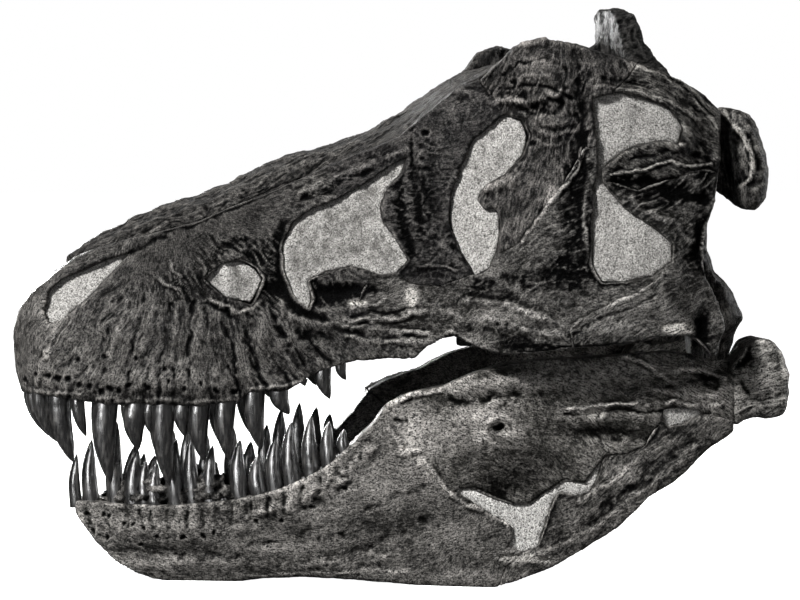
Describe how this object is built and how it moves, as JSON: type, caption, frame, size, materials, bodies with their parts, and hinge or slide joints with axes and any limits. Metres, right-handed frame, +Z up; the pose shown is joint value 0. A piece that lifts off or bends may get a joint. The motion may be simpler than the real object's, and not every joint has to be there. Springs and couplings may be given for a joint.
{
  "type": "tyrannosaurus rex skull fossil",
  "caption": "Life-size fossil skull of a tyrannosaurus with its lower jaws and teeth, its openings filled with pale plaster, resting on the undersides of the jaws.",
  "frame": {"origin": "on the floor below the middle of the skull's bounding box", "axes": "+X runs back from the snout to the jaw joint, +Y to the animal's right, +Z up; the left cheek faces -Y"},
  "size_m": [1.442, 0.8292, 1.1],
  "materials": {
    "dark_bone": "dark brown-grey fossil bone with a faint varnish sheen",
    "grey_bone": "mid-grey fossil bone, smoother",
    "black_bone": "near-black fossil bone with a varnish sheen",
    "plaster": "matt stippled off-white plaster"
  },
  "bodies": {
    "root": {"angular_left": "dark_bone", "angular_right": "dark_bone", "articular_left": "dark_bone", "articular_right": "dark_bone", "braincase": "dark_bone", "dentary_left": "grey_bone", "dentary_right": "grey_bone", "ectopterygoid_left": "dark_bone", "ectopterygoid_right": "dark_bone", "frontals": "dark_bone", "jugal_left": "black_bone", "jugal_right": "black_bone", "lacrimal_left": "dark_bone", "lacrimal_right": "dark_bone", "maxilla_left": "dark_bone", "maxilla_right": "dark_bone", "nasals": "dark_bone", "palatine_left": "dark_bone", "palatine_right": "dark_bone", "parietals": "dark_bone", "plaster_antorbital_left": "plaster", "plaster_antorbital_right": "plaster", "plaster_jaw_left": "plaster", "plaster_jaw_right": "plaster", "plaster_jaw_window_left": "plaster", "plaster_jaw_window_right": "plaster", "plaster_maxillary_left": "plaster", "plaster_maxillary_right": "plaster", "plaster_naris_left": "plaster", "plaster_naris_right": "plaster", "plaster_orbit_left": "plaster", "plaster_orbit_right": "plaster", "plaster_temporal_left": "plaster", "plaster_temporal_right": "plaster", "postorbital_left": "black_bone", "postorbital_right": "black_bone", "prearticular_left": "dark_bone", "prearticular_right": "dark_bone", "prefrontal_left": "dark_bone", "prefrontal_right": "dark_bone", "premaxilla_left": "dark_bone", "premaxilla_right": "dark_bone", "pterygoid_left": "dark_bone", "pterygoid_right": "dark_bone", "quadrate_left": "black_bone", "quadrate_right": "black_bone", "quadratojugal_left": "black_bone", "quadratojugal_right": "black_bone", "snout_core": "plaster", "splenial_left": "dark_bone", "splenial_right": "dark_bone", "squamosal_left": "dark_bone", "squamosal_right": "dark_bone", "surangular_left": "grey_bone", "surangular_right": "grey_bone", "vomer": "dark_bone"}
  },
  "joints": []
}
